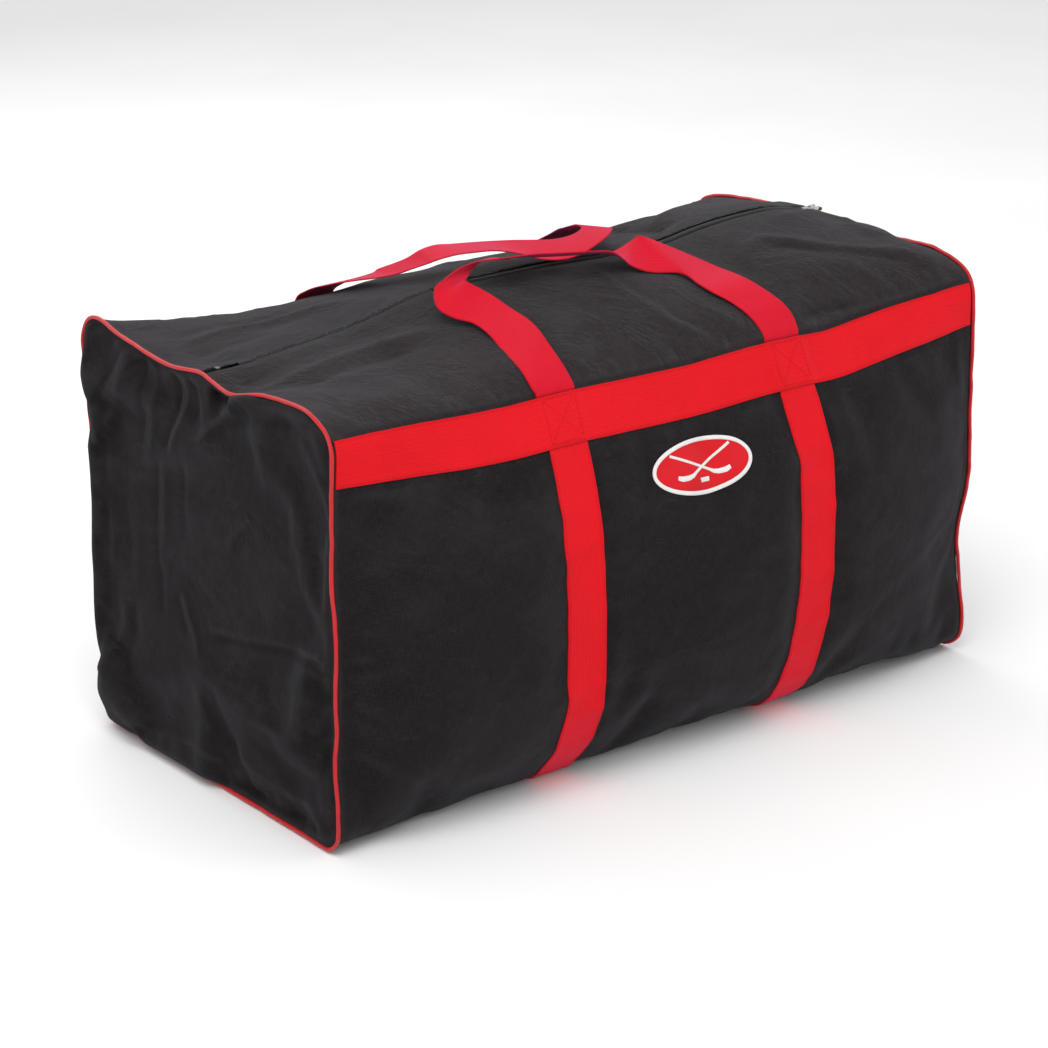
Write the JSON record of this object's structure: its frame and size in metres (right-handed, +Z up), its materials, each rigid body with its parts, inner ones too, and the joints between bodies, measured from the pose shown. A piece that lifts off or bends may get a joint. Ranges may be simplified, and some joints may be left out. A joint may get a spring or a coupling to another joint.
{
  "type": "hockey equipment bag",
  "caption": "Large soft canvas box duffel with webbing side bands, girth straps, looped carry handles, piped ends and a lengthwise top zip that opens two top halves.",
  "frame": {"origin": "on the ground under the middle of the bag's bottom", "axes": "+X along the bag, to the right seen from the front; the front with the patch faces -Y; +Z up"},
  "size_m": [0.9258, 0.5552, 0.5285],
  "materials": {
    "canvas_front": "heavy cotton canvas, matt, faint weave",
    "canvas_back": "heavy cotton canvas, matt, faint weave",
    "canvas_bottom": "heavy cotton canvas, matt, faint weave",
    "canvas_left_end": "heavy cotton canvas, matt, faint weave",
    "canvas_right_end": "heavy cotton canvas, matt, faint weave",
    "canvas_top": "heavy cotton canvas, matt, faint weave",
    "webbing_strap": "woven webbing, satin, fine lengthwise ribs",
    "webbing_band": "woven webbing, satin, fine lengthwise ribs",
    "webbing_handle": "woven webbing, satin, fine lengthwise ribs",
    "piping_cover": "smooth bias tape over cord, slight gloss",
    "piping_cord": "twisted filler cord",
    "binding_tape": "woven tape",
    "thread": "polyester thread",
    "zip_tape": "woven zip tape",
    "zip_teeth": "moulded nylon",
    "zip_metal": "nickel plated, lightly worn",
    "patch_red": "embroidered twill",
    "patch_white": "satin stitch",
    "patch_mark": "satin stitch"
  },
  "bodies": {
    "bag_body": {"front_panel": "canvas_front", "back_panel": "canvas_back", "bottom_panel": "canvas_bottom", "left_end_panel": "canvas_left_end", "right_end_panel": "canvas_right_end", "top_front_left_corner": "canvas_top", "top_front_right_corner": "canvas_top", "top_back_left_corner": "canvas_top", "top_back_right_corner": "canvas_top", "left_piping_cord": "piping_cord", "left_piping_cover": "piping_cover", "left_seam_binding": "binding_tape", "right_piping_cord": "piping_cord", "right_piping_cover": "piping_cover", "right_seam_binding": "binding_tape", "left_girth_strap": "webbing_strap", "right_girth_strap": "webbing_strap", "front_band": "webbing_band", "back_band": "webbing_band", "front_box_stitching": "thread", "back_box_stitching": "thread", "patch_base": "patch_red", "patch_border": "patch_white", "patch_emblem": "patch_mark", "zip_tape_left_end": "zip_tape", "zip_tape_right_end": "zip_tape", "zip_teeth_left_end": "zip_teeth", "zip_teeth_right_end": "zip_teeth", "zip_top_stops": "zip_metal", "zip_bottom_stop": "zip_metal"},
    "front_flap": {"top_front_half": "canvas_top", "zip_tape_front": "zip_tape", "zip_teeth_front": "zip_teeth"},
    "back_flap": {"top_back_half": "canvas_top", "zip_tape_back": "zip_tape", "zip_teeth_back": "zip_teeth"},
    "front_handle": {"front_handle": "webbing_handle"},
    "back_handle": {"back_handle": "webbing_handle"},
    "zip_slider": {"zip_slider": "zip_metal"},
    "zip_pull": {"zip_pull": "zip_metal"}
  },
  "joints": [
    {"name": "zip_travel", "type": "slide", "parent": "bag_body", "child": "zip_slider", "axis": [-0.9988, 0, -0.0484], "range_m": [0, 0.823]},
    {"name": "zip_pull_swing", "type": "hinge", "parent": "zip_slider", "child": "zip_pull", "pos_m": [0.41177, 0, 0.50168], "axis": [0, 1, 0], "range_deg": [0, 175]},
    {"name": "front_flap_open", "type": "hinge", "parent": "bag_body", "child": "front_flap", "pos_m": [0, -0.222, 0.434], "axis": [1, 0, 0], "range_deg": [0, 71]},
    {"name": "back_flap_open", "type": "hinge", "parent": "bag_body", "child": "back_flap", "pos_m": [0, 0.222, 0.434], "axis": [-1, 0, 0], "range_deg": [0, 71]},
    {"name": "front_handle_swing", "type": "hinge", "parent": "front_flap", "child": "front_handle", "pos_m": [0, -0.222, 0.434], "axis": [1, 0, 0], "range_deg": [0, 115]},
    {"name": "back_handle_swing", "type": "hinge", "parent": "back_flap", "child": "back_handle", "pos_m": [0, 0.222, 0.434], "axis": [-1, 0, 0], "range_deg": [0, 115]}
  ],
  "couplings": [
    {"joint": "front_flap_open", "follows": "zip_travel", "rad_per_m": 1.4845},
    {"joint": "back_flap_open", "follows": "zip_travel", "rad_per_m": 1.4845}
  ]
}
